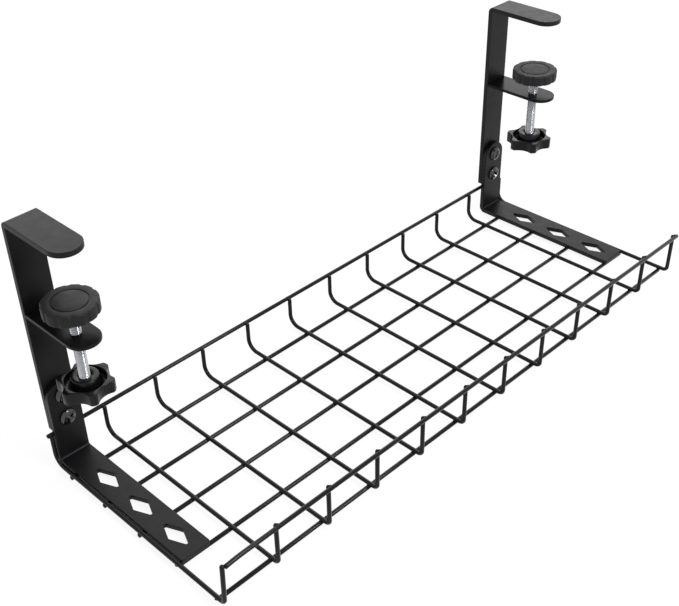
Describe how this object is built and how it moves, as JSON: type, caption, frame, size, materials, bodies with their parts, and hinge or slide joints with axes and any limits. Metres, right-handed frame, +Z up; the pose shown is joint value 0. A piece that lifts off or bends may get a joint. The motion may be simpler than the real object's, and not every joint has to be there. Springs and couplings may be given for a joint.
{
  "type": "under-desk cable tray",
  "caption": "Welded wire tray that hangs under a desk from two screw clamps and carries cables and power strips.",
  "frame": {"origin": "centre of the bounding box, at the underside of the floor wires", "axes": "+X along the tray, +Y towards the side with the clamp uprights, +Z up"},
  "size_m": [0.4026, 0.1502, 0.1564],
  "materials": {
    "black_powder_coat": "satin",
    "zinc_screw": "bright",
    "black_bolt": "semi-gloss",
    "pad_plastic": "matte",
    "knob_plastic": "semi-gloss"
  },
  "bodies": {
    "frame": {"wire_tray": "black_powder_coat", "left_bracket": "black_powder_coat", "left_hook": "black_powder_coat", "left_jaw": "black_powder_coat", "left_upper_bolt": "black_bolt", "left_lower_bolt": "black_bolt", "right_bracket": "black_powder_coat", "right_hook": "black_powder_coat", "right_jaw": "black_powder_coat", "right_upper_bolt": "black_bolt", "right_lower_bolt": "black_bolt"},
    "left_pad_slide": {"left_pad": "pad_plastic"},
    "left_screw_turn": {"left_clamp_screw": "zinc_screw", "left_knob": "knob_plastic"},
    "right_pad_slide": {"right_pad": "pad_plastic"},
    "right_screw_turn": {"right_clamp_screw": "zinc_screw", "right_knob": "knob_plastic"}
  },
  "joints": [
    {"name": "left_pad_lift", "type": "slide", "parent": "frame", "child": "left_pad_slide", "axis": [0, 0, 1], "range_m": [-0.012, 0.025]},
    {"name": "left_screw_spin", "type": "hinge", "parent": "left_pad_slide", "child": "left_screw_turn", "pos_m": [-0.1862, 0.0409, 0.1028], "axis": [0, 0, 1], "range_deg": [-4321, 9001]},
    {"name": "right_pad_lift", "type": "slide", "parent": "frame", "child": "right_pad_slide", "axis": [0, 0, 1], "range_m": [-0.0101, 0.0269]},
    {"name": "right_screw_spin", "type": "hinge", "parent": "right_pad_slide", "child": "right_screw_turn", "pos_m": [0.1862, 0.0409, 0.1028], "axis": [0, 0, 1], "range_deg": [-3637, 9685]}
  ],
  "couplings": [
    {"joint": "left_screw_spin", "follows": "left_pad_lift", "rad_per_m": 6283.2},
    {"joint": "right_screw_spin", "follows": "right_pad_lift", "rad_per_m": 6283.2}
  ]
}
